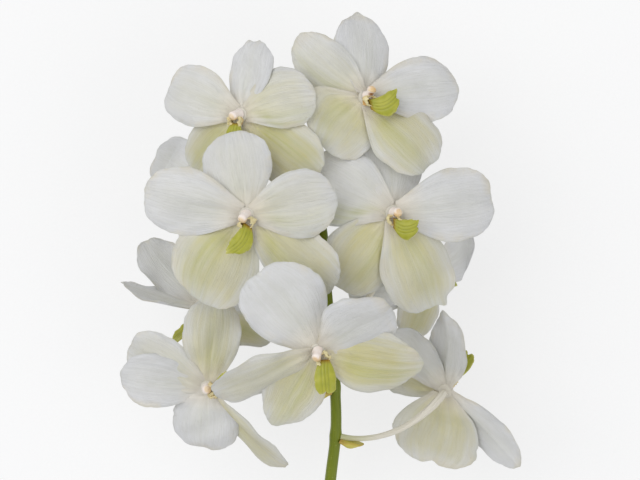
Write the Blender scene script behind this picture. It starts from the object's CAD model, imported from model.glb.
"""The looks of the cut vanda orchid: petals, lips, columns, stalks and stem on a pale floor."""

import math
from collections import namedtuple

import bpy
import numpy as np
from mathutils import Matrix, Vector


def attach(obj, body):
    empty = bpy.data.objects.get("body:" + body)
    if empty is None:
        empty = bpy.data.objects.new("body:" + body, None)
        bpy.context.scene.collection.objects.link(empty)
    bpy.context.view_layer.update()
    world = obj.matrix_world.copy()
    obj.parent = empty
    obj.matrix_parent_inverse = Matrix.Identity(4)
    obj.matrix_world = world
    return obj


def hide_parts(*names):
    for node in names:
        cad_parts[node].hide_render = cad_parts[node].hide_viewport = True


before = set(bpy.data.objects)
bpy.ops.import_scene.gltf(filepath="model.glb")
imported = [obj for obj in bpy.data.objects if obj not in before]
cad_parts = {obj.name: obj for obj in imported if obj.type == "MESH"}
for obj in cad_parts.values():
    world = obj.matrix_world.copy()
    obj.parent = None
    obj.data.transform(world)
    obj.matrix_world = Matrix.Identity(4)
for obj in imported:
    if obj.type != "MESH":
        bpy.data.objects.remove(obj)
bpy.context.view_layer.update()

# Tables are in millimetres, as in the solids, and this shift puts them in the shared frame.
MM = 0.001
SPRAY_SHIFT = np.array((-0.3, 57.2, 0.0))

# Faces that meet at less than this angle, in degrees, are shaded as one smooth surface.
SMOOTH_ANGLE = 55
# The rings of a tube start from a direction that no tube runs in. A closed end is this thin.
RING_START = (0.3, 0.2, 1.0)
TUBE_END = 0.05
# A rounded edge keeps this share of its thickness squared, so it is never as sharp as a knife.
BLUNT_EDGE = 0.02

# The stem: its centre line from the cut end to the top, its radii, ribs and swollen nodes. A rib
# has a depth as a share of the radius, a count and a turn.
STEM_ROUTE = (
    (1.0, -216.0, 2.7),
    (-1.0, -180.0, 14.2),
    (1.0, -144.0, 25.5),
    (5.0, -108.0, 36.0),
    (7.2, -88.0, 41.0),
    (7.0, -70.0, 45.5),
    (5.5, -48.0, 50.0),
    (3.0, -20.0, 54.5),
    (1.0, 5.0, 57.5),
    (0.0, 27.0, 59.5),
)
STEM_RADIUS_CUT = 3.2
STEM_RADIUS_TOP = 1.9
STEM_RINGS = 400
STEM_SIDES = 40
STEM_RIBS = ((0.012, 9, 0), (0.008, 5, 1))
STEM_TOP_ROUNDING = (0.97, 0.86, 0.6, 0.03)
NODE_SWELL = 0.35
NODE_REACH = 2.6
CUT_RINGS = np.array((1.0, 0.93, 0.8, 0.55, 0.3, 0.06))
CUT_RIND = 0.8

# The receptacle in the middle of a bloom, and the gap between solids that touch.
HEART_RADIUS = 3.4
HEART_THICKNESS = 2.6
HEART_FLATTENING = 0.7
HEART_RINGS = 15
HEART_SIDES = 24
HEART_WASH = 0.1
GAP = 0.3

# Tepals: their sheet, their outline, and how far petals lie in front of sepals.
TEPAL_THICKNESS = 0.8
TEPAL_THINNING = 0.72
TEPAL_ROOT = 1.8
TEPAL_CLAW = 0.3
TEPAL_ROWS = 54
TEPAL_COLUMNS = 37
PETALS = (1, 2)
PETAL_NEARER = 0.9
SEEDS_IN_BLOOM = 10
CLAW_SHARPNESS = 1.2
TOOTH_WIDTH = 0.16
TOOTH_SHARPNESS = 6
WAVE_TURNS = 7.5
WAVE_LAG = 1.9
SOFT_BEND = 2.0

# The unevenness of a grown rim: each wave's height as a share of the blade, its count round the
# tip, and its shares of two phases drawn at random.
RIM_WAVES = (
    (0.016, 5, (1, 0)),
    (0.010, 9, (0, 2)),
    (0.006, 17, (0, 1)),
    (0.004, 31, (1, 0)),
)

# The relief of a tepal: its height in millimetres, how far it turns along and across a whole
# blade in radians, and, at its root, the middle and width of its place along the blade.
Relief = namedtuple("Relief", "height along across middle width", defaults=(0.0, 1.0))
HOLLOWS = Relief(1.0, 3.4, 2.2)
FOLDS = Relief(0.4, 1.5, 6, 0.35, 0.25)
PLEATS = Relief(0.22, 0, 16, 0.16, 0.13)
RIPPLES = Relief(0.6, 16, 2)
RUFFLES = Relief(0.5, 0, 7)
SOFT_WAVES = Relief(0.22, 14, 6)
SOFT_WAVE_COUNT = 6
MIDRIB_DEPTH = 0.5
MIDRIB_WIDTH = 0.08
MIDRIB_FADE = 0.75
ROLL_AT_TIP = 1.1
ROLL_AT_RIM = 0.7
ROLL_TURNS = 5

# The green streak of a tepal, across it and along it as shares of the blade.
STREAK_ROOT_PLACE = 0.3
STREAK_ROOT_WIDTH = 0.16
STREAK_SPREAD = 0.3
STREAK_END = 1.2
STREAK_FADE = 0.8

# The column: its radius along it, both as shares, then the hollow in its front and the crease
# under its cap, each with a depth, and the middle and width of its place along the column.
COLUMN_LENGTH = 6.0
COLUMN_RADIUS = 2.0
COLUMN_RINGS = 40
COLUMN_SIDES = 32
COLUMN_PROFILE = (
    (0.0, 1.25), (0.08, 1.12), (0.35, 0.95), (0.55, 0.92), (0.68, 1.03),
    (0.8, 1.02), (0.9, 0.83), (0.95, 0.62), (0.98, 0.4), (1.0, 0.02),
)
HOLLOW_DEPTH = 0.8
HOLLOW_PLACE = (0.52, 0.13)
CREASE_DEPTH = 0.08
CREASE_PLACE = (0.68, 0.025)
CREASE_ROUND = 0.6

# The lip: a tongue with grooves and a frilled rim.
LIP_THICKNESS = 2.0
LIP_THINNING = 0.4
LIP_CLEARANCE = 0.95
LIP_RISE = 0.2
LIP_ARCH = 1.2
LIP_CUP = -1.0
LIP_CLAW = 0.5
LIP_ROWS = 44
LIP_COLUMNS = 41
LIP_UNEVENNESS = 2.0
GROOVE_DEPTH = 0.22
GROOVE_PLACE = 0.3
GROOVE_WIDTH = 0.09
MIDDLE_GROOVE_WIDTH = 0.06
MIDDLE_GROOVE_SHARE = 0.7
FRILL_HEIGHT = 0.35
FRILL_TURNS = 21

# The ears beside the lip's root. An ear starts behind the lip's root, above it and to the side,
# and reaches forwards, outwards and down.
EAR_BEHIND = 1.0
EAR_ABOVE = 1.6
EAR_ASIDE = 2.3
EAR_FORWARDS = 3.4
EAR_OUTWARDS = 1.5
EAR_DOWN = 1.0
EAR_WIDTH = 4.4
EAR_THICKNESS = 0.8
EAR_THINNING = 0.6
EAR_CLAW = 0.8
EAR_GRID = 19

# The pedicel: a stalk with twisted ribs that swells to the ovary, with a thickened foot.
PEDICEL_RADIUS = 1.3
PEDICEL_START = 0.8
OVARY_RADIUS = 1.9
OVARY_NECK = 1.0
OVARY_START = 0.3
OVARY_FULL = 0.8
OVARY_END = 0.9
FOOT_SWELL = 0.35
FOOT_REACH = 0.06
PEDICEL_RINGS = 90
PEDICEL_SIDES = 36
PEDICEL_RIBS = 6
PEDICEL_TWIST = 2.2
STALK_RIB_DEPTH = 0.03
OVARY_RIB_DEPTH = 0.07

# The bract: a plump scale under the pedicel's foot, with a keel.
BRACT_LENGTH = 9.0
BRACT_SHORTER = 1.4
BRACT_WIDTH = 7.5
BRACT_THICKNESS = 1.6
BRACT_PLUMPNESS = 1.3
BRACT_PLUMP_PLACE = (0.4, 0.3)
BRACT_EDGE = 0.03
BRACT_DROP = 3.1
BRACT_NEARER = 1.3
BRACT_ROOT_OUT = 2.4
BRACT_DROOP = 0.8
BRACT_ARCH = -0.9
BRACT_CUP = 1.2
BRACT_CLAW = 0.9
BRACT_GRID = 25
KEEL_DEPTH = 0.5
KEEL_WIDTH = 0.2
BRACT_WRINKLE = Relief(0.12, 9, 4)

# The floor, the lights and the camera, in metres and watts.
FLOOR_REACH = 3.0
FLOOR_DROP = 0.0001
FLOOR_GLOW = 0.665
LIGHT_AIM = (0, 0.05, 0.05)
SURROUND_STRENGTH = 0.67
CAMERA_HEIGHT = 1.260
CAMERA_LENS = 150.25
CAMERA_SENSOR = 36.0
CAMERA_NEAR = 0.05
CAMERA_FAR = 10.0

# Colours of the petals, as linear red, green, blue and opacity.
PETAL_SHADE = (0.715, 0.72, 0.735, 1)
PETAL_WHITE = (0.78, 0.782, 0.80, 1)
CREAM_GREEN = (0.63, 0.585, 0.31, 1)
STREAK_GREEN = (0.50, 0.51, 0.19, 1)
ROOT_YELLOW = (0.74, 0.69, 0.27, 1)
ROOT_CREAM = (0.87, 0.81, 0.70, 1)
VEIN_GREEN = (0.45, 0.46, 0.32, 1)
FIBRE_GREY = (0.56, 0.56, 0.52, 1)
WARM_RIM = (0.70, 0.62, 0.42, 1)
MOTTLE_GREY = (0.62, 0.62, 0.56, 1)
GREEN_RIM = (0.50, 0.51, 0.42, 1)
SPECK_BROWN = (0.48, 0.42, 0.28, 1)
# Colours of the lips and of their ears.
LIP_YELLOW = (0.40, 0.395, 0.04, 1)
LIP_GREEN = (0.31, 0.325, 0.028, 1)
GROOVE_GREEN = (0.17, 0.17, 0.012, 1)
LIP_RIM = (0.56, 0.54, 0.16, 1)
MOUTH_BROWN = (0.34, 0.15, 0.02, 1)
EAR_PEACH = (0.72, 0.64, 0.36, 1)
FRECKLE_BROWN = (0.52, 0.28, 0.07, 1)
# Colours of the columns.
FLESH_WHITE = (0.86, 0.79, 0.74, 1)
FLESH_PINK = (0.83, 0.73, 0.66, 1)
HOLLOW_BROWN = (0.30, 0.12, 0.02, 1)
CAP_TAN = (0.66, 0.42, 0.16, 1)
CAP_CREAM = (0.76, 0.60, 0.38, 1)
# Colours of the pedicels.
STALK_CREAM = (0.67, 0.63, 0.52, 1)
STALK_PALE = (0.73, 0.69, 0.60, 1)
STALK_GREEN = (0.42, 0.45, 0.16, 1)
STALK_TAN = (0.66, 0.60, 0.44, 1)
# Colours of the bracts.
BRACT_YELLOW = (0.66, 0.57, 0.12, 1)
BRACT_OLIVE = (0.52, 0.47, 0.08, 1)
BRACT_ROOT = (0.46, 0.26, 0.07, 1)
BRACT_RIM = (0.46, 0.30, 0.07, 1)
# Colours of the stem and of the pith in its cut end.
STEM_DARK = (0.110, 0.152, 0.005, 1)
STEM_LIGHT = (0.175, 0.212, 0.012, 1)
STEM_CLOUD = (0.19, 0.22, 0.02, 1)
STEM_SPECK = (0.30, 0.32, 0.10, 1)
PITH_PALE = (0.55, 0.56, 0.34, 1)
PITH_GREEN = (0.44, 0.47, 0.22, 1)
# Colours of the floor, of its glow and of the surround.
FLOOR_DARK = (0.24, 0.24, 0.24, 1)
FLOOR_LIGHT = (0.26, 0.26, 0.26, 1)
GLOW_WHITE = (1.0, 1.0, 1.0, 1.0)
SURROUND_WHITE = (0.96, 0.97, 1.0, 1.0)

# A tepal as in the solids, then the share of cream-green all over it (wash), the strength and
# place of its green streak (tint, band), how deeply it is folded along its middle (fold), and the
# nicks in its rim: the angle from its tip, the depth and the width of each, and points below 0.
Tepal = namedtuple(
    "Tepal",
    "tip width turn arch cup sweep widest blunt point wave wash tint band fold nicks",
    defaults=(0.0, 2.0, -1.0, 0.0, 0.58, 2.2, 0.0, 0.8, 0.08, 0.1, 0.0, 0.0, ()),
)
# A bloom: its heart, the way it faces, where its column points, its lip, where its pedicel leaves
# the stem (the Y of that place), the pull of the pedicel's two ends, and its tepals: the upper
# sepal, the left and right petal, and the left and right lower sepal, as seen in front of it.
Bloom = namedtuple("Bloom", "heart facing column lip stem_y leave arrive tepals")


def tongue(tip, width=9.0, sweep=0.0, widest=0.65, blunt=2.6, point=-0.2, nicks=()):
    """The blade of a lip, which is thick, arched and notched at its end."""
    return Tepal(
        tip,
        width,
        arch=LIP_ARCH,
        cup=LIP_CUP,
        sweep=sweep,
        widest=widest,
        blunt=blunt,
        point=point,
        wave=0.0,
        nicks=nicks,
    )


# The nicks between the lobes at the end of a lip, as in a tepal.
LOBES = ((-0.8, 0.28, 0.2), (0.15, 0.32, 0.2), (0.95, 0.2, 0.18))

BLOOMS = (
    Bloom((20, 63, 80), (0.50, 0.30, 0.80), (4, 6.2, 6),
          tongue((14.3, 1.4, 6.6), 10.0, 3.3, 0.6, 3.0, -0.12, LOBES), 25, (4, 14, 3), 14, (
        Tepal((-2, 38, -10), 29, blunt=1.7, point=0.1, fold=-0.8),
        Tepal((-31, 26, -2), 23, turn=-42, sweep=-1.2, widest=0.5, wash=0.3, tint=0.4, band=-0.5),
        Tepal((41, 6, -14), 30, fold=-0.5),
        Tepal((-18, -22, 8), 37, sweep=2.0, widest=0.42, blunt=2.3, wash=0.7, tint=0.6, band=0.2),
        Tepal((29.5, -29.5, 1), 31, turn=12, blunt=2.6,
              wash=0.75, tint=0.7, band=0.3, nicks=((-0.25, -0.05, 0.15),)),
    )),
    Bloom((-35, 55, 85), (-0.45, 0.10, 0.90), (-4.3, -1.6, 6.5),
          tongue((-3, -14, 4)), 17, (-12, 8, 6), 14, (
        Tepal((7, 33, -4), 22, blunt=1.9, fold=-1.0, nicks=((-0.43, -0.12, 0.14), (0.02, -0.05, 0.08))),
        Tepal((-32, 14, -12), 27, blunt=2.5, wash=0.2),
        Tepal((33, 9, 6), 28, sweep=-2.0, wash=0.45, tint=0.6, band=0.8),
        Tepal((-22, -25, -10), 26, wash=0.85, tint=0.8, band=0.1),
        Tepal((33, -27, 6), 29, blunt=2.5, wash=0.9, tint=0.9, band=-0.2),
    )),
    Bloom((-32, 11, 95), (-0.15, -0.10, 1.0), (-2.6, -3, 6.8),
          tongue((-8, -16.5, 6), 9.0, -2.5, 0.55, 1.7, 0.08), 2, (-10, 4, 8), 18, (
        Tepal((-7, 36, -2), 31, blunt=2.3, wash=0.2),
        Tepal((-45, 10, -4), 30, wash=0.12, nicks=((0.5, 0.02, 0.1),)),
        Tepal((39, 8, 3), 30, wash=0.3, tint=0.3, band=0.6),
        Tepal((-21, -38, -6), 40, sweep=1.5, wash=0.8, tint=0.8, band=0.3, fold=0.6),
        Tepal((38, -32, 0), 28, wash=0.75, tint=0.9, band=0.4),
    )),
    Bloom((32, 12, 85), (0.28, -0.05, 0.95), (2.9, 0.3, 7.2),
          tongue((11.8, -4.6, 6), 9.0, 3.0, 0.5, 2.1, -0.06, LOBES), -36, (30, 2, 9), 16, (
        Tepal((0, 35, -14), 28),
        Tepal((-37, 20, -5), 36, turn=4, sweep=-1.0, wash=0.15, tint=0.6, band=-0.7),
        Tepal((45, 6, -12), 33, blunt=2.4, fold=0.5),
        Tepal((-24, -33, -2), 34, wash=0.85, tint=0.6, band=-0.3),
        Tepal((18, -42, -8), 33, blunt=2.7,
              wash=0.75, tint=0.6, band=-0.1, fold=0.6, nicks=((-0.36, -0.16, 0.12),)),
    )),
    Bloom((-1, -48, 98), (0.05, -0.30, 0.95), (-1.2, -4.2, 6.3),
          tongue((3.6, -18.7, 4), 9.5, 0.0, 0.6, 3.0, -0.1), -54, (-2, 2, 12), 16, (
        Tepal((-27, 33, 6), 38, sweep=2.5, nicks=((0.12, 0.03, 0.05),)),
        Tepal((-45, -20, -4), 26, turn=-33, sweep=2.5, wash=0.5, fold=0.7),
        Tepal((33, 17, 4), 34, turn=25, sweep=-3.0, widest=0.36, blunt=2.6, fold=0.5),
        Tepal((-20, -34, -10), 29, sweep=0.5, widest=0.5, blunt=1.4,
              wash=0.75, tint=0.8, band=-0.15, fold=0.8),
        Tepal((46, -7, -4), 29, sweep=1.5, widest=0.45, blunt=1.7,
              wash=1.0, tint=0.8, band=0.35, fold=0.5),
    )),
    Bloom((-50, -66, 70), (-0.20, -0.10, 0.95), (0.4, 0, 7.4),
          tongue((12, 6, 9), 8.0), -67, (-14, 2, 4), 16, (
        Tepal((-40, 5, -8), 24, nicks=((-0.64, 0.1, 0.12),)),
        Tepal((-2, -28, -14), 31, widest=0.46, blunt=2.6),
        Tepal((-36, 19, -14), 25, wash=0.3),
        Tepal((34, -36, 0), 24, turn=50, wash=0.7, tint=0.3, band=0.4, fold=1.5),
        Tepal((3, 40, 2), 27, wash=0.6, tint=0.5, band=0.1),
    )),
    Bloom((57, -68, 52), (0.35, 0.35, -0.85), (2.6, 2.6, -6.3),
          tongue((11, 17, -5.5)), -89.3, (26, -6, 4), 18, (
        Tepal((-6, -34, -14), 41, blunt=2.6, point=-0.05,
              wash=0.65, fold=-1.2, nicks=((0.0, 0.06, 0.1),)),
        Tepal((-32, 13, -14), 24, wash=0.75, tint=0.3),
        Tepal((33, -34, 8), 20, turn=14, sweep=-1.5, blunt=1.8, fold=1.2),
        Tepal((-24, 27, 1), 22, wash=0.15),
        Tepal((0, 36, 12), 23, turn=-25, widest=0.42, blunt=1.6, point=0.08, fold=0.8),
    )),
    Bloom((-52, -31, 45), (-0.47, -0.79, -0.39), (-3.4, -5.8, -2.8),
          tongue((-15, -15, -2), 8.0), -41, (-14, 4, -4), 12, (
        Tepal((16, 6, -31), 25),
        Tepal((30, -14, 0), 26, turn=10, wash=0.8, tint=0.8),
        Tepal((-28, 31, -16), 25, turn=-25),
        Tepal((3.5, -19.5, 18), 24, wash=0.5, tint=0.4),
        Tepal((-38, 10, 12), 24, turn=12, wash=0.1, fold=0.5),
    )),
    Bloom((-50, 25, 32), (-0.70, 0.25, 0.65), (-5.2, 1.9, 4.9),
          tongue((-6.5, -12, 2.5)), 9, (-12, 4, -6), 12, (
        Tepal((4, 36, -8), 26),
        Tepal((-28, 15, -50), 28),
        Tepal((28, 12, 20), 27, wash=0.2),
        Tepal((-12, -30, -4), 27, wash=0.4, tint=0.4),
        Tepal((22, -24, 26), 26, wash=0.6, tint=0.6),
    )),
    Bloom((51, -13, 38), (0.75, -0.15, 0.60), (5.7, -1.1, 4.6),
          tongue((10, -8.5, 4)), -14, (12, 3, -4), 12, (
        Tepal((-12, 32, 22), 27),
        Tepal((-38, -12, 20), 27),
        Tepal((22, 14, -54), 28),
        Tepal((-9, -33, -3), 30, wash=0.9, tint=0.6),
        Tepal((-2, -22, -26), 25, wash=0.5, tint=0.5),
    )),
)


def unit(vector):
    """The direction of a vector as a NumPy array of length 1."""
    vector = np.asarray(vector, float)
    return vector / np.linalg.norm(vector)


def hump(value, middle, width):
    """A smooth hump of height 1 round a middle."""
    return np.exp(-(((value - middle) / width) ** 2))


def ramp(value, until):
    """An even rise from 0 at value 0 to 1 at the given one, level on both sides."""
    return np.clip(value / until, 0, 1)


def smooth_line(points, count, dense_steps=24):
    """Evenly spaced points on the smooth curve that runs through the given ones."""
    points = np.asarray(points, float)
    before = 2 * points[0] - points[1]
    after = 2 * points[-1] - points[-2]
    padded = np.vstack((before, points, after))
    t = np.linspace(0, 1, dense_steps, endpoint=False)[:, None]
    pieces = []
    for a, b, c, d in zip(padded, padded[1:], padded[2:], padded[3:]):
        pieces.append(
            0.5 * (2 * b + (c - a) * t + (2 * a - 5 * b + 4 * c - d) * t**2
                   + (3 * b - 3 * c + d - a) * t**3)
        )
    dense = np.vstack(pieces + [points[-1:]])
    steps = np.linalg.norm(np.diff(dense, axis=0), axis=1)
    travelled = np.concatenate(([0], np.cumsum(steps)))
    stations = np.linspace(0, travelled[-1], count)
    return np.column_stack([np.interp(stations, travelled, dense[:, k]) for k in range(3)])


class Form:
    """Points, faces and values at points, gathered for one piece."""

    def __init__(self):
        self.points = []
        self.faces = []
        self.values = {}
        self.count = 0

    def add(self, points, faces, **values):
        """Take in one more surface, with its values at its points."""
        self.points.append(points)
        self.faces.append(faces + self.count)
        self.count += len(points)
        for key, value in values.items():
            self.values.setdefault(key, []).append(np.broadcast_to(value, len(points)))

    def piece(self, name, node, material):
        """Make the object that stands for a node of the solids."""
        points = np.vstack(self.points)
        faces = np.vstack(self.faces)
        points[:, 2] = np.maximum(points[:, 2], 0)
        mesh = bpy.data.meshes.new(name)
        mesh.from_pydata((points * MM).tolist(), [], faces.tolist())
        mesh.validate()
        for key, parts in self.values.items():
            attribute = mesh.attributes.new(key, "FLOAT", "POINT")
            attribute.data.foreach_set("value", np.concatenate(parts).astype(np.float32))
        mesh.materials.append(material)
        mesh.shade_smooth()
        mesh.set_sharp_from_angle(angle=math.radians(SMOOTH_ANGLE))
        obj = bpy.data.objects.new(name, mesh)
        bpy.context.scene.collection.objects.link(obj)
        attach(obj, "root")
        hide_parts(node)


def ring_tube(line, radii):
    """A closed tube along a line: its points, its faces, and each point's place along and round.

    The radii are a row for each ring, with one radius for each point of it.
    """
    rings, sides = radii.shape
    tangents = np.gradient(line, axis=0)
    side = unit(np.cross(tangents[0], RING_START))
    angles = 2 * np.pi * np.arange(sides) / sides
    points = np.empty((rings, sides, 3))
    for k, (centre, tangent) in enumerate(zip(line, tangents)):
        tangent = unit(tangent)
        side = unit(side - tangent * side.dot(tangent))
        over = np.cross(tangent, side)
        round_it = np.cos(angles)[:, None] * side + np.sin(angles)[:, None] * over
        points[k] = centre + radii[k][:, None] * round_it
    index = np.arange(rings * sides).reshape(rings, sides)
    turned = np.roll(index, -1, axis=1)
    faces = np.stack((index[:-1], turned[:-1], turned[1:], index[1:]), axis=-1).reshape(-1, 4)
    along = np.repeat(np.linspace(0, 1, rings), sides)
    around = np.tile(angles, rings)
    return points.reshape(-1, 3), faces, along, around


def sheet_normals(middle):
    """The directions across a sheet of points, from the diagonals of its squares."""
    diagonal = middle[1:, 1:] - middle[:-1, :-1]
    other = middle[1:, :-1] - middle[:-1, 1:]
    squares = np.cross(other, diagonal)
    total = np.zeros_like(middle)
    for rows in (slice(None, -1), slice(1, None)):
        for columns in (slice(None, -1), slice(1, None)):
            total[rows, columns] += squares
    return total / np.linalg.norm(total, axis=-1, keepdims=True)


def solid_sheet(middle, half):
    """A closed sheet round a middle surface, with half its thickness at each point."""
    rows, columns = half.shape
    normals = sheet_normals(middle)
    offset = normals * half[..., None]
    points = np.vstack(((middle + offset).reshape(-1, 3), (middle - offset).reshape(-1, 3)))
    index = np.arange(rows * columns).reshape(rows, columns)
    squares = np.stack((index[:-1, :-1], index[1:, :-1], index[1:, 1:], index[:-1, 1:]), axis=-1)
    squares = squares.reshape(-1, 4)
    under = squares[:, ::-1] + rows * columns
    loop = np.concatenate((index[0, :-1], index[:-1, -1], index[-1, :0:-1], index[:0:-1, 0]))
    onward = np.roll(loop, -1)
    rim = np.stack((loop, onward, onward + rows * columns, loop + rows * columns), axis=-1)
    return points, np.vstack((squares, under, rim))


def both(values):
    """Values for the upper and the under side of a sheet."""
    return np.tile(values.reshape(-1), 2)


def flat_outline(s, v, widest, claw, blunt, point):
    """Where a grid place lies on the blade laid flat: along it and across it, as shares."""
    rise = np.sin(0.5 * np.pi * ramp(s, until=widest)) ** CLAW_SHARPNESS
    narrow = claw + (1 - claw) * rise
    u = np.clip((s - widest) / (1 - widest), 0, 1)
    along = u * np.sqrt(1 - v**2 / 2)
    across = v * np.sqrt(1 - u**2 / 2)
    angle = np.arctan2(np.abs(across), along)
    stretch = (np.cos(angle) ** blunt + np.sin(angle) ** blunt) ** (-1 / blunt)
    tooth = point * hump(across, 0, TOOTH_WIDTH) * u**TOOTH_SHARPNESS
    near = s < widest
    x = np.where(near, s, widest + (1 - widest) * (along * stretch + tooth))
    y = np.where(near, v * narrow, across * stretch)
    return x, y


def blade_frame(root, tepal, face):
    """A blade's chord, and the directions across it and out of its face."""
    chord = np.asarray(tepal.tip, float) - root
    axis = unit(chord)
    side = unit(np.cross(axis, face))
    level = np.cross(side, axis)
    turn = math.radians(tepal.turn)
    face = level * math.cos(turn) + side * math.sin(turn)
    return chord, np.cross(axis, face), face


def worn_outline(tepal, s, v, claw, seed, uneven=1.0):
    """The outline with its nicks and points, and with the slight unevenness of a grown rim."""
    phases = np.random.default_rng(seed).uniform(0, 2 * np.pi, 2)
    x, y = flat_outline(s, v, tepal.widest, claw, tepal.blunt, tepal.point)
    u = np.clip((s - tepal.widest) / (1 - tepal.widest), 0, 1)
    out = np.maximum(u, np.abs(v))
    angle = np.arctan2(v * np.sqrt(1 - u**2 / 2), u * np.sqrt(1 - v**2 / 2))
    waves = sum(
        height * np.sin(count * angle + np.dot(shares, phases))
        for height, count, shares in RIM_WAVES
    )
    size = 1 + uneven * waves * out**4
    for middle, depth, width in tepal.nicks:
        size = size - depth * hump(angle, middle, width) * out**9
    far = s >= tepal.widest
    x = np.where(far, tepal.widest + (x - tepal.widest) * size, x)
    return x, np.where(far, y * size, y)


def blade_surface(root, tepal, face, x, y, relief):
    """The middle surface of a blade, with a relief out of its face."""
    chord, side, face = blade_frame(root, tepal, face)
    bow = 4 * x * (1 - x)
    swing = np.sin(WAVE_TURNS * x + WAVE_LAG * np.sign(y) + tepal.width)
    rims = tepal.cup * y**2 * np.sin(0.5 * np.pi * ramp(x, until=0.5))
    across = y * tepal.width / 2 + tepal.sweep * bow
    lift = tepal.arch * bow + rims + tepal.wave * np.abs(y) ** 3 * swing + relief(x, y)
    return root + x[..., None] * chord + across[..., None] * side + lift[..., None] * face


def press_flat(points, level):
    """Bend the points that would go below a level so that they lie flat on it."""
    height = points[..., 2] - level
    eased = np.where(height < -SOFT_BEND, 0, (height + SOFT_BEND) ** 2 / (4 * SOFT_BEND))
    points[..., 2] = level + np.where(height > SOFT_BEND, height, eased)
    return points


def grid(rows, columns):
    """Places along and across a blade, closer together near its rims."""
    s = np.linspace(0, 1, rows)
    v = np.sin(0.5 * np.pi * np.linspace(-1, 1, columns))
    return np.meshgrid(s, v, indexing="ij")


def petal_relief(tepal, seed):
    """Soft hollows and folds over a tepal, pleats at its root, a midrib and ripples at its rim."""
    draw = np.random.default_rng(seed)
    a, b, c, d = draw.uniform(0, 2 * np.pi, 4)
    most = np.array((SOFT_WAVES.along, SOFT_WAVES.across, 2 * np.pi))
    waves = draw.uniform(most * (-1, -1, 0), most, (SOFT_WAVE_COUNT, 3))

    def relief(x, y):
        rim = np.abs(y)
        far = np.clip((x - tepal.widest) / (1 - tepal.widest), 0, 1)
        bowl = np.sin(HOLLOWS.along * x + a) * np.sin(HOLLOWS.across * y + b)
        hollows = HOLLOWS.height * bowl * np.sin(np.pi * np.clip(x, 0, 1))
        waving = sum(np.sin(k * x + m * y + n) for k, m, n in waves)
        soft = SOFT_WAVES.height * waving * ramp(x, until=0.2)
        folding = np.cos(FOLDS.along * x + FOLDS.across * y + c)
        folds = FOLDS.height * folding * hump(x, FOLDS.middle, FOLDS.width)
        pleating = np.cos(PLEATS.across * y + d)
        pleats = PLEATS.height * pleating * hump(x, PLEATS.middle, PLEATS.width)
        groove = hump(y, 0, MIDRIB_WIDTH) * ramp(x, until=0.25)
        midrib = -MIDRIB_DEPTH * groove * (1 - MIDRIB_FADE * x)
        rippling = np.sin(RIPPLES.along * x + RIPPLES.across * np.sign(y) + b)
        ripples = RIPPLES.height * rim**5 * rippling
        ruffles = RUFFLES.height * far**4 * np.sin(RUFFLES.across * y + c)
        rolling = ROLL_AT_RIM * rim**6 * (1 + np.sin(ROLL_TURNS * x + d))
        rolled = -ROLL_AT_TIP * far**3 - rolling
        crease = tepal.fold * (rim - 0.5) * ramp(x, until=1 / 3)
        return hollows + soft + folds + pleats + midrib + ripples + ruffles + rolled + crease

    return relief


def streak_share(tepal, x, y):
    """How strong a tepal's green streak is: a band from the root, feathered towards the tip."""
    middle = tepal.band * np.maximum(ramp(x, until=0.4), STREAK_ROOT_PLACE)
    band = hump(y, middle, STREAK_ROOT_WIDTH + STREAK_SPREAD * x)
    return np.clip(tepal.tint * band * np.clip(STREAK_END - x, 0, 1) ** STREAK_FADE, 0, 1)


def make_tepals(name, number, bloom, material):
    """The receptacle and the five tepals of a bloom."""
    form = Form()
    heart = SPRAY_SHIFT + bloom.heart
    facing = unit(bloom.facing)
    levels = np.linspace(-1, 1, HEART_RINGS)
    line = heart + 0.5 * HEART_THICKNESS * np.outer(levels, facing)
    fullness = 1 + BLUNT_EDGE - HEART_FLATTENING * levels**4
    swell = HEART_RADIUS * np.sqrt(np.clip(fullness, 0, 1))
    swell[[0, -1]] = TUBE_END
    points, faces, _, _ = ring_tube(line, np.repeat(swell[:, None], HEART_SIDES, axis=1))
    form.add(
        points, faces, along=0.0, across=0.0, wash=HEART_WASH, tint=0.0, rim=0.0, seed=number
    )
    s, v = grid(TEPAL_ROWS, TEPAL_COLUMNS)
    for place, tepal in enumerate(bloom.tepals):
        seed = SEEDS_IN_BLOOM * number + place
        root = TEPAL_ROOT * unit(tepal.tip)
        x, y = worn_outline(tepal, s, v, TEPAL_CLAW, seed)
        middle = blade_surface(root, tepal, facing, x, y, petal_relief(tepal, seed)) + heart
        nearer = PETAL_NEARER if place in PETALS else -PETAL_NEARER
        middle = middle + nearer * ramp(x, until=0.125)[..., None] * facing
        press_flat(middle, TEPAL_THICKNESS / 2)
        u = np.clip((s - tepal.widest) / (1 - tepal.widest), 0, 1)
        rim = np.maximum(np.abs(v), u)
        half = 0.5 * TEPAL_THICKNESS * (1 - TEPAL_THINNING * rim**5)
        points, faces = solid_sheet(middle, half)
        form.add(
            points,
            faces,
            along=both(x),
            across=both(v),
            wash=tepal.wash,
            tint=both(streak_share(tepal, x, v)),
            rim=both(rim),
            seed=seed,
        )
    form.piece(f"{name}_petals", f"{name}_tepals", material)


def bloom_axes(bloom):
    """The way a bloom faces, and its own up, towards its upper sepal."""
    facing = unit(bloom.facing)
    upper = unit(bloom.tepals[0].tip)
    return facing, unit(upper - facing * upper.dot(facing))


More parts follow.
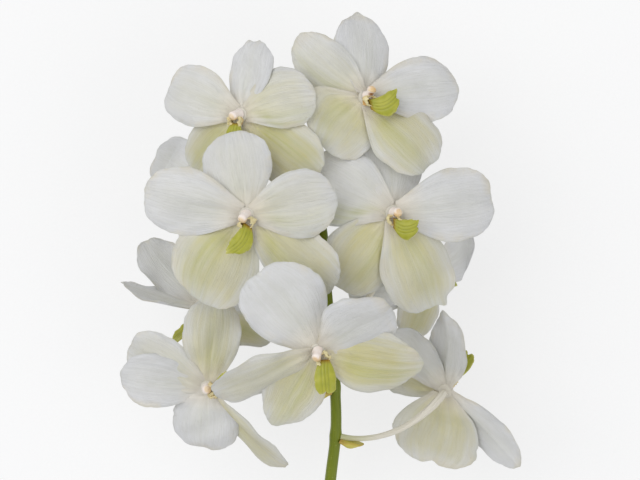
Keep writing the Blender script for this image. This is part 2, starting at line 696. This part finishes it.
def make_column(name, bloom, material):
    """The column: a short fleshy pillar, hollow in front, with a tan anther cap at its end."""
    form = Form()
    facing, up = bloom_axes(bloom)
    foot = facing * (HEART_THICKNESS / 2 + GAP)
    reach = COLUMN_LENGTH * unit(bloom.column - foot)
    t = np.linspace(0, 1, COLUMN_RINGS)[:, None]
    line = foot + t * (1 - t) * COLUMN_LENGTH * facing + t**2 * reach
    shape = np.interp(t[:, 0], *zip(*COLUMN_PROFILE))
    radii = COLUMN_RADIUS * np.repeat(shape[:, None], COLUMN_SIDES, axis=1)
    points, faces, along, _ = ring_tube(line, radii)
    out = points - np.repeat(line, COLUMN_SIDES, axis=0)
    front = -(out @ up) / COLUMN_RADIUS
    hollow = np.clip(front, 0, 1) ** 2 * hump(along, *HOLLOW_PLACE)
    crease = hump(along, *CREASE_PLACE) * np.clip(front + CREASE_ROUND, 0, 1)
    points = points + HOLLOW_DEPTH * hollow[:, None] * up - CREASE_DEPTH * crease[:, None] * out
    form.add(points + SPRAY_SHIFT + bloom.heart, faces, along=along, front=front, hollow=hollow)
    form.piece(f"{name}_pillar", f"{name}_column", material)


def lip_ridges(x, y):
    """Three ridges with grooves between them, and a frilled rim."""
    window = ramp(x, until=1 / 5) * ramp(1 - x, until=1 / 6)
    beside = hump(np.abs(y), GROOVE_PLACE, GROOVE_WIDTH)
    grooves = beside + MIDDLE_GROOVE_SHARE * hump(y, 0, MIDDLE_GROOVE_WIDTH)
    frill = FRILL_HEIGHT * np.abs(y) ** 4 * np.sin(FRILL_TURNS * x + np.sign(y))
    return frill - GROOVE_DEPTH * window * grooves


def make_lip(name, number, bloom, material):
    """The lip: a fleshy ridged tongue below the column, and an ear on each side of its root."""
    form = Form()
    facing, up = bloom_axes(bloom)
    heart = SPRAY_SHIFT + bloom.heart
    lift = HEART_THICKNESS / 2 + GAP + LIP_RISE + LIP_THICKNESS / 2
    beside = COLUMN_RADIUS + GAP + LIP_CLEARANCE + LIP_THICKNESS / 2
    root = facing * lift - up * beside
    s, v = grid(LIP_ROWS, LIP_COLUMNS)
    x, y = worn_outline(bloom.lip, s, v, LIP_CLAW, number, LIP_UNEVENNESS)
    middle = blade_surface(root, bloom.lip, facing, x, y, lip_ridges)
    u = np.clip((s - bloom.lip.widest) / (1 - bloom.lip.widest), 0, 1)
    rim = np.maximum(np.abs(v), np.maximum(u, 1 - ramp(s, until=0.125)))
    rounding = np.sqrt(np.clip(1 + BLUNT_EDGE - rim**3, 0, 1))
    half = 0.5 * LIP_THICKNESS * rounding * (1 - LIP_THINNING * x)
    points, faces = solid_sheet(middle + heart, half)
    form.add(points, faces, along=both(x), across=both(y), ear=0.0, rim=both(rim))
    side = np.cross(up, facing)
    s, v = grid(EAR_GRID, EAR_GRID)
    for hand in (-1, 1):
        aside = hand * side
        start = facing * (lift - EAR_BEHIND) - up * (beside - EAR_ABOVE) + aside * EAR_ASIDE
        tip = start + facing * EAR_FORWARDS + aside * EAR_OUTWARDS - up * EAR_DOWN
        ear = Tepal(tip, EAR_WIDTH, arch=-0.5, cup=-0.8, widest=0.55, blunt=2.0, wave=0.3)
        x, y = worn_outline(ear, s, v, EAR_CLAW, number + hand, LIP_UNEVENNESS)
        middle = blade_surface(start, ear, aside, x, y, petal_relief(ear, number))
        rim = np.maximum(np.abs(v), s)
        half = 0.5 * EAR_THICKNESS * (1 - EAR_THINNING * rim**4)
        points, faces = solid_sheet(middle + heart, half)
        form.add(points, faces, along=both(x), across=both(v), ear=1.0, rim=both(rim))
    form.piece(f"{name}_tongue", f"{name}_lip", material)


def stem_place(y):
    """The place on the stem's centre line that has the given Y, and the way to its cut end."""
    line = smooth_line(STEM_ROUTE, STEM_RINGS)
    index = np.argmin(np.abs(line[:, 1] - y))
    return line[index], unit(line[index - 1] - line[index + 1])


def make_pedicel(name, bloom, material):
    """The ribbed stalk from the stem to the back of the bloom, widening to the ovary."""
    form = Form()
    facing = unit(bloom.facing)
    place, _ = stem_place(bloom.stem_y)
    foot = place - bloom.heart
    end = -facing * (HEART_THICKNESS / 2 + GAP)
    neck = end - facing * OVARY_NECK
    pull = foot + bloom.leave
    push = neck - facing * bloom.arrive
    t = np.linspace(0, 1, PEDICEL_RINGS)[:, None]
    route = (
        foot * (1 - t) ** 3
        + 3 * pull * t * (1 - t) ** 2
        + 3 * push * t**2 * (1 - t)
        + neck * t**3
    )
    route = np.vstack((route, end)) + bloom.heart
    out_of_stem = np.linalg.norm(route - place, axis=1) > PEDICEL_START * STEM_RADIUS_CUT
    share = np.append(t[:, 0], 1)[out_of_stem]
    route = route[out_of_stem] + SPRAY_SHIFT
    swell = np.interp(share, (OVARY_START, OVARY_FULL), (0, 1))
    radii = PEDICEL_RADIUS + (OVARY_RADIUS - PEDICEL_RADIUS) * swell
    radii = radii + FOOT_SWELL * hump(share, 0, FOOT_REACH)
    radii[-1] = TUBE_END
    radii[-2] *= OVARY_END
    angles = 2 * np.pi * np.arange(PEDICEL_SIDES) / PEDICEL_SIDES
    ribs = np.cos(PEDICEL_RIBS * (angles + PEDICEL_TWIST * share[:, None]))
    depth = STALK_RIB_DEPTH + OVARY_RIB_DEPTH * swell[:, None]
    points, faces, along, around = ring_tube(route, radii[:, None] * (1 - depth + depth * ribs))
    form.add(points, faces, along=along, around=around)
    form.piece(f"{name}_stalk", f"{name}_pedicel", material)


def bract_keel(x, y):
    """A keel along the scale that fades towards its tip, and faint wrinkles."""
    wrinkle = BRACT_WRINKLE.height * np.sin(BRACT_WRINKLE.along * x + BRACT_WRINKLE.across * y)
    return wrinkle - KEEL_DEPTH * hump(y, 0, KEEL_WIDTH) * (1 - x)


def make_bract(name, node, number, bloom, material):
    """The plump scale under the foot of a pedicel, with a keel and a dry rim."""
    form = Form()
    place, down = stem_place(bloom.stem_y)
    out = unit(bloom.leave)
    out = unit(out - down * out.dot(down))
    root = place + down * (BRACT_DROP - BRACT_NEARER) + out * BRACT_ROOT_OUT
    reach = STEM_RADIUS_CUT + BRACT_LENGTH - BRACT_SHORTER
    scale = Tepal(
        root + down * BRACT_DROOP + out * reach,
        BRACT_WIDTH,
        arch=BRACT_ARCH,
        cup=BRACT_CUP,
        widest=0.45,
        blunt=1.9,
        point=0.05,
        wave=0.2,
    )
    s, v = grid(BRACT_GRID, BRACT_GRID)
    x, y = worn_outline(scale, s, v, BRACT_CLAW, number)
    middle = blade_surface(root, scale, -down, x, y, bract_keel) + SPRAY_SHIFT
    rim = np.maximum(np.abs(v), s)
    plump = 1 + BRACT_PLUMPNESS * hump(x, *BRACT_PLUMP_PLACE) * (1 - y**2)
    rounding = np.sqrt(np.clip(1 + BRACT_EDGE - rim**4, 0, 1))
    points, faces = solid_sheet(middle, 0.5 * BRACT_THICKNESS * plump * rounding)
    form.add(points, faces, along=both(s), across=both(v), rim=both(rim))
    form.piece(name, node, material)


def make_stem(material):
    """The stem, with a swelling where each pedicel leaves it and a plain cut end."""
    form = Form()
    line = smooth_line(STEM_ROUTE, STEM_RINGS)
    radii = np.linspace(STEM_RADIUS_CUT, STEM_RADIUS_TOP, STEM_RINGS)
    for bloom in BLOOMS:
        place, _ = stem_place(bloom.stem_y)
        away = np.linalg.norm(line - place, axis=1)
        radii = radii + NODE_SWELL * hump(away, 0, NODE_REACH)
    radii[-len(STEM_TOP_ROUNDING):] *= STEM_TOP_ROUNDING
    angles = 2 * np.pi * np.arange(STEM_SIDES) / STEM_SIDES
    ribs = sum(depth * np.cos(count * angles + turn) for depth, count, turn in STEM_RIBS)
    line = line + SPRAY_SHIFT
    points, faces, along, around = ring_tube(line, radii[:, None] * (1 + ribs))
    form.add(points, faces, along=along, around=around, cut=0.0)
    outer = points[:STEM_SIDES]
    disc = np.vstack([line[0] + share * (outer - line[0]) for share in CUT_RINGS])
    index = np.arange(len(disc)).reshape(len(CUT_RINGS), STEM_SIDES)
    turned = np.roll(index, -1, axis=1)
    faces = np.stack((index[:-1], index[1:], turned[1:], turned[:-1]), axis=-1).reshape(-1, 4)
    around = np.tile(angles, len(CUT_RINGS))
    cut = np.repeat(1.0 - CUT_RIND * CUT_RINGS**8, STEM_SIDES)
    form.add(disc, faces, along=0.0, around=around, cut=cut)
    form.piece("stem_skin", "stem", material)


class Shader:
    """A material's node tree, built from short calls."""

    def __init__(self, name):
        self.material = bpy.data.materials.new(name)
        self.material.use_nodes = True
        self.tree = self.material.node_tree
        self.tree.nodes.clear()
        self.output = self.node("ShaderNodeOutputMaterial")

    def node(self, kind, **settings):
        made = self.tree.nodes.new(kind)
        for key, value in settings.items():
            setattr(made, key, value)
        return made

    def link(self, value, socket):
        """Feed a socket from another one, or set it to a plain value."""
        if isinstance(value, bpy.types.NodeSocket):
            self.tree.links.new(value, socket)
        else:
            socket.default_value = value

    def math(self, operation, a, b=0.0, clamp=False):
        made = self.node("ShaderNodeMath", operation=operation, use_clamp=clamp)
        self.link(a, made.inputs[0])
        self.link(b, made.inputs[1])
        return made.outputs[0]

    def spread(self, value, low, high, to_low=0.0, to_high=1.0):
        """A value's range from low to high, stretched to another range and held there."""
        made = self.node("ShaderNodeMapRange")
        for key, number in zip(range(5), (value, low, high, to_low, to_high)):
            self.link(number, made.inputs[key])
        return made.outputs[0]

    def mix(self, share, a, b):
        made = self.node("ShaderNodeMix", data_type="RGBA")
        self.link(share, made.inputs["Factor"])
        self.link(a, made.inputs["A"])
        self.link(b, made.inputs["B"])
        return made.outputs["Result"]

    def value(self, name):
        """A value that the piece carries at its points."""
        return self.node("ShaderNodeAttribute", attribute_name=name).outputs["Fac"]

    def vector(self, x, y, z):
        made = self.node("ShaderNodeCombineXYZ")
        for number, socket in zip((x, y, z), made.inputs):
            self.link(number, socket)
        return made.outputs[0]

    def noise(self, vector, scale, detail=3.0, roughness=0.5):
        made = self.node("ShaderNodeTexNoise")
        self.link(vector, made.inputs["Vector"])
        made.inputs["Scale"].default_value = scale
        made.inputs["Detail"].default_value = detail
        made.inputs["Roughness"].default_value = roughness
        return made.outputs["Fac"]

    def place(self):
        """The place in the object's own space, in metres."""
        return self.node("ShaderNodeTexCoord").outputs["Object"]

    def bump(self, height, distance, strength=1.0):
        made = self.node("ShaderNodeBump")
        made.inputs["Strength"].default_value = strength
        made.inputs["Distance"].default_value = distance
        self.link(height, made.inputs["Height"])
        return made.outputs["Normal"]

    def finish(self, colour, roughness, normal, sheer=0.0, specular=0.35):
        """A Principled surface, of which a share lets light through."""
        body = self.node("ShaderNodeBsdfPrincipled")
        self.link(colour, body.inputs["Base Color"])
        self.link(roughness, body.inputs["Roughness"])
        self.link(normal, body.inputs["Normal"])
        body.inputs["Specular IOR Level"].default_value = specular
        surface = body.outputs[0]
        if sheer:
            through = self.node("ShaderNodeBsdfTranslucent")
            self.link(colour, through.inputs["Color"])
            self.link(normal, through.inputs["Normal"])
            blend = self.node("ShaderNodeMixShader")
            blend.inputs[0].default_value = sheer
            self.tree.links.new(body.outputs[0], blend.inputs[1])
            self.tree.links.new(through.outputs[0], blend.inputs[2])
            surface = blend.outputs[0]
        self.tree.links.new(surface, self.output.inputs["Surface"])
        return self.material


def petal_material():
    """Waxy white petals with fine branching veins, green streaks, creamy roots and thin rims."""
    make = Shader("tepal_wax")
    along = make.value("along")
    across = make.value("across")
    seed = make.value("seed")
    rim = make.value("rim")
    place = make.place()

    def stretched(lengthwise, crosswise, detail, roughness=0.5):
        spot = make.vector(
            make.math("MULTIPLY", along, lengthwise), make.math("MULTIPLY", across, crosswise), seed
        )
        return make.noise(spot, 1.0, detail, roughness)

    clouds = make.noise(place, 55, 5.0, 0.6)
    mottle = make.noise(place, 330, 3.0)
    streaks = stretched(1.4, 6.0, 4.0, 0.6)
    fibres = stretched(3.0, 34.0, 3.0)
    vein_place = stretched(1.6, 15.0, 1.0)
    off = make.math("ABSOLUTE", make.math("SUBTRACT", vein_place, 0.5))
    vein = make.spread(off, 0.0, 0.035, 1.0, 0.0)
    white = make.mix(make.spread(clouds, 0.3, 0.7), PETAL_SHADE, PETAL_WHITE)
    faded = make.math("SUBTRACT", make.spread(streaks, 0.25, 0.75, 0.6, 1.15),
                      make.spread(rim, 0.45, 1.0, 0.0, 0.65))
    wash = make.math("MULTIPLY", make.value("wash"), faded, clamp=True)
    washed = make.mix(wash, white, CREAM_GREEN)
    lines = make.spread(stretched(1.0, 9.0, 3.0), 0.35, 0.62, 0.35, 1.1)
    streak = make.math("MULTIPLY", make.value("tint"), lines, clamp=True)
    greened = make.mix(streak, washed, STREAK_GREEN)
    glow = make.math("MULTIPLY", make.spread(along, 0.1, 0.6, 0.75, 0.0), wash)
    glowing = make.mix(glow, greened, ROOT_YELLOW)
    root = make.spread(along, 0.04, 0.3, 0.8, 0.0)
    creamy = make.mix(root, glowing, ROOT_CREAM)
    vein_share = make.math("MULTIPLY", vein, make.spread(along, 0.3, 1.0, 0.13, 0.06))
    veined = make.mix(vein_share, creamy, VEIN_GREEN)
    fibred = make.mix(make.spread(fibres, 0.35, 0.65, 0.0, 0.1), veined, FIBRE_GREY)
    warm = make.math("MULTIPLY", make.spread(rim, 0.7, 1.0), make.spread(clouds, 0.5, 0.62))
    warmed = make.mix(make.math("MULTIPLY", warm, 0.45), fibred, WARM_RIM)
    mottled = make.mix(make.spread(mottle, 0.4, 0.7, 0.0, 0.12), warmed, MOTTLE_GREY)
    edged = make.mix(make.spread(rim, 0.93, 1.0, 0.0, 0.3), mottled, GREEN_RIM)
    specks = make.spread(make.noise(place, 420, 1.0), 0.76, 0.8, 0.0, 0.2)
    colour = make.mix(specks, edged, SPECK_BROWN)
    grain = make.math("ADD", make.math("MULTIPLY", fibres, 0.6), make.math("MULTIPLY", vein, -0.3))
    height = make.math("ADD", grain, make.math("MULTIPLY", mottle, 0.8))
    normal = make.bump(height, 0.0002)
    roughness = make.spread(clouds, 0.3, 0.7, 0.42, 0.54)
    return make.finish(colour, roughness, normal, sheer=0.3, specular=0.3)


def lip_material():
    """A waxy yellow-green tongue with dark grooves and a brown mouth, and peach ears."""
    make = Shader("lip_wax")
    along = make.value("along")
    across = make.value("across")
    place = make.place()
    clouds = make.noise(place, 260, 3.0)
    base = make.mix(make.spread(clouds, 0.3, 0.7), LIP_YELLOW, LIP_GREEN)
    beside = make.math("ABSOLUTE", make.math("SUBTRACT", make.math("ABSOLUTE", across), GROOVE_PLACE))
    off = make.math("MINIMUM", beside, make.math("ABSOLUTE", across))
    grooved = make.mix(make.spread(off, 0.0, 0.12, 0.42, 0.0), base, GROOVE_GREEN)
    edged = make.mix(make.spread(make.value("rim"), 0.8, 1.0, 0.0, 0.6), grooved, LIP_RIM)
    mouth = make.spread(along, 0.0, 0.16, 0.95, 0.0)
    blade = make.mix(mouth, edged, MOUTH_BROWN)
    freckles = make.spread(make.noise(place, 420, 2.0), 0.45, 0.64)
    throat = make.math("MULTIPLY", freckles, make.spread(along, 0.1, 0.9, 1.0, 0.1))
    ear = make.mix(throat, EAR_PEACH, FRECKLE_BROWN)
    colour = make.mix(make.value("ear"), blade, ear)
    normal = make.bump(make.noise(place, 1400, 3.0), 0.00007)
    return make.finish(colour, 0.36, normal, sheer=0.1, specular=0.4)


def column_material():
    """A fleshy pink-white column with a brown hollow and a tan cap at its end."""
    make = Shader("column_flesh")
    place = make.place()
    clouds = make.noise(place, 400, 3.0)
    along = make.value("along")
    front = make.value("front")
    flesh = make.mix(make.spread(clouds, 0.3, 0.7), FLESH_WHITE, FLESH_PINK)
    hollow = make.mix(make.spread(make.value("hollow"), 0.1, 0.6), flesh, HOLLOW_BROWN)
    end = make.spread(along, 0.86, 0.96, 0.0, 0.85)
    face = make.math("MULTIPLY", make.spread(along, 0.66, 0.72), make.spread(front, -0.1, 0.5))
    cap = make.mix(make.spread(clouds, 0.35, 0.65), CAP_TAN, CAP_CREAM)
    colour = make.mix(make.math("MAXIMUM", end, face), hollow, cap)
    normal = make.bump(make.noise(place, 1500, 3.0), 0.00006)
    return make.finish(colour, 0.36, normal, sheer=0.08, specular=0.4)


def pedicel_material():
    """Cream stalks that turn greener towards the stem, with fine lengthwise streaks."""
    make = Shader("pedicel_flesh")
    along = make.value("along")
    around = make.value("around")
    place = make.place()
    streaks = make.noise(make.vector(make.math("MULTIPLY", along, 3.0),
                                     make.math("MULTIPLY", around, 5.0), 0.0), 1.0, 4.0)
    clouds = make.noise(place, 120, 3.0)
    cream = make.mix(make.spread(streaks, 0.3, 0.7), STALK_CREAM, STALK_PALE)
    foot = make.spread(along, 0.0, 0.25, 0.7, 0.0)
    greened = make.mix(foot, cream, STALK_GREEN)
    colour = make.mix(make.spread(clouds, 0.5, 0.75, 0.0, 0.3), greened, STALK_TAN)
    height = make.math("ADD", streaks, make.math("MULTIPLY", make.noise(place, 1500, 2.0), 0.5))
    return make.finish(colour, 0.42, make.bump(height, 0.0001), sheer=0.05, specular=0.4)


def bract_material():
    """Ochre scales with a dry brown rim and lengthwise fibres."""
    make = Shader("bract_skin")
    along = make.value("along")
    across = make.value("across")
    place = make.place()
    fibres = make.noise(make.vector(make.math("MULTIPLY", along, 1.2),
                                    make.math("MULTIPLY", across, 12.0), 0.0), 1.0, 3.0)
    ochre = make.mix(make.spread(fibres, 0.3, 0.7), BRACT_YELLOW, BRACT_OLIVE)
    rooted = make.mix(make.spread(along, 0.0, 0.35, 0.8, 0.0), ochre, BRACT_ROOT)
    rim = make.spread(make.value("rim"), 0.88, 1.0, 0.0, 0.5)
    colour = make.mix(rim, rooted, BRACT_RIM)
    height = make.math("ADD", fibres, make.noise(place, 1200, 2.0))
    return make.finish(colour, 0.5, make.bump(height, 0.00015), sheer=0.08, specular=0.35)


def stem_material():
    """Glossy green stem with lengthwise streaks, small specks, and pale pith at its cut."""
    make = Shader("stem_skin_green")
    along = make.value("along")
    around = make.value("around")
    place = make.place()
    streaks = make.noise(make.vector(make.math("MULTIPLY", along, 14.0),
                                     make.math("MULTIPLY", around, 3.2), 0.0), 1.0, 5.0, 0.6)
    clouds = make.noise(place, 45, 3.0)
    green = make.mix(make.spread(streaks, 0.3, 0.7), STEM_DARK, STEM_LIGHT)
    varied = make.mix(make.spread(clouds, 0.45, 0.75, 0.0, 0.5), green, STEM_CLOUD)
    specks = make.spread(make.noise(place, 1100, 1.0), 0.68, 0.74)
    specked = make.mix(make.math("MULTIPLY", specks, 0.5), varied, STEM_SPECK)
    pith = make.mix(make.spread(make.noise(place, 1600, 2.0), 0.35, 0.65),
                    PITH_PALE, PITH_GREEN)
    colour = make.mix(make.value("cut"), specked, pith)
    height = make.math("ADD", streaks, make.math("MULTIPLY", make.noise(place, 1300, 2.0), 0.4))
    return make.finish(colour, 0.4, make.bump(height, 0.00012), specular=0.25)


def floor_material():
    """A plain pale surface with a faint fine tooth."""
    make = Shader("floor_pale")
    tooth = make.noise(make.place(), 900, 2.0)
    colour = make.mix(tooth, FLOOR_DARK, FLOOR_LIGHT)
    material = make.finish(colour, 0.9, make.bump(tooth, 0.00005), specular=0.1)
    body = next(node for node in make.tree.nodes if node.type == "BSDF_PRINCIPLED")
    body.inputs["Emission Color"].default_value = GLOW_WHITE
    body.inputs["Emission Strength"].default_value = FLOOR_GLOW
    return material


def make_floor():
    """The plain floor that the spray lies on."""
    corners = ((-1, -1), (1, -1), (1, 1), (-1, 1))
    mesh = bpy.data.meshes.new("floor")
    mesh.from_pydata(
        [(x * FLOOR_REACH, y * FLOOR_REACH, -FLOOR_DROP) for x, y in corners], [], [(0, 1, 2, 3)]
    )
    mesh.materials.append(floor_material())
    floor = bpy.data.objects.new("floor", mesh)
    bpy.context.scene.collection.objects.link(floor)


def make_light(name, place, size, watts):
    """A soft square light that looks at the spray."""
    data = bpy.data.lights.new(name, "AREA")
    data.size = size
    data.energy = watts
    light = bpy.data.objects.new(name, data)
    bpy.context.scene.collection.objects.link(light)
    light.location = place
    light.rotation_euler = (Vector(LIGHT_AIM) - Vector(place)).to_track_quat("-Z", "Y").to_euler()


def light_scene():
    """Soft light from above and from the upper left, and a pale surround."""
    make_light("key", (-0.8, 0.5, 1.25), size=1.5, watts=13.6)
    make_light("fill", (0.9, -0.5, 1.2), size=1.2, watts=6)
    world = bpy.data.worlds.new("surround")
    world.use_nodes = True
    background = world.node_tree.nodes["Background"]
    background.inputs["Color"].default_value = SURROUND_WHITE
    background.inputs["Strength"].default_value = SURROUND_STRENGTH
    bpy.context.scene.world = world


def make_camera():
    """The camera looks straight down, with the top of the spray away from the viewer."""
    data = bpy.data.cameras.new("camera")
    data.sensor_width = CAMERA_SENSOR
    data.lens = CAMERA_LENS
    data.clip_start = CAMERA_NEAR
    data.clip_end = CAMERA_FAR
    camera = bpy.data.objects.new("camera", data)
    bpy.context.scene.collection.objects.link(camera)
    camera.location = (SPRAY_SHIFT[0] * MM, SPRAY_SHIFT[1] * MM, CAMERA_HEIGHT)
    camera.rotation_euler = (0.0, 0.0, 0.0)
    bpy.context.scene.camera = camera


def main():
    petal = petal_material()
    column = column_material()
    lip = lip_material()
    pedicel = pedicel_material()
    bract = bract_material()
    make_stem(stem_material())
    for number, bloom in enumerate(BLOOMS, 1):
        name = f"bloom_{number:02d}"
        make_tepals(name, number, bloom, petal)
        make_column(name, bloom, column)
        make_lip(name, number, bloom, lip)
        make_pedicel(name, bloom, pedicel)
        make_bract(f"scale_{number:02d}", f"bract_{number:02d}", number, bloom, bract)
    make_floor()
    light_scene()
    make_camera()
    bpy.context.scene.view_settings.view_transform = "Standard"


main()
